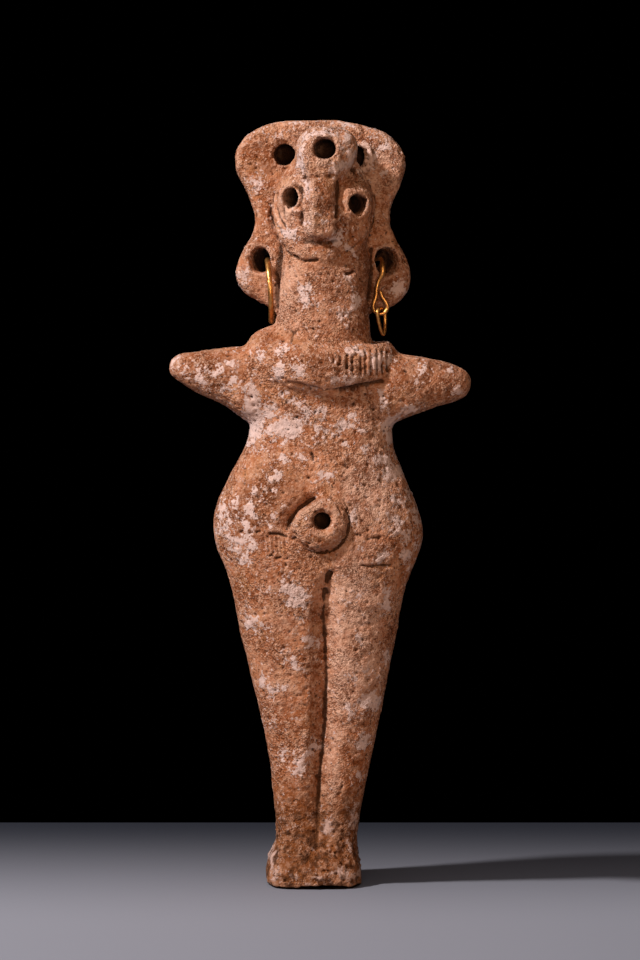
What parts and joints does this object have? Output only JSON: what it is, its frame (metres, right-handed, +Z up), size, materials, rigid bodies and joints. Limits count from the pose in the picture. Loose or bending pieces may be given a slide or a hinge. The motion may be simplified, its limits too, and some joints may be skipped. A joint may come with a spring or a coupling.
{
  "type": "terracotta idol",
  "caption": "Standing hand-modelled clay idol with a pinched bird-like face, a fan-shaped pierced headdress, stub arms, a pressed collar, joined legs and gold wire earrings.",
  "frame": {"origin": "on the level sole, near the middle of the foot, under the figure's middle", "axes": "+Z up along the figure, -Y the way it faces, +X to the viewer's right as it faces them"},
  "size_m": [0.0673, 0.0239, 0.17],
  "materials": {
    "fired_clay": "matt, worn, pale slip in patches",
    "gold": "soft polish"
  },
  "bodies": {
    "root": {"idol": "fired_clay", "left_earring": "gold", "right_earring": "gold", "right_earring_drop": "gold"}
  },
  "joints": []
}
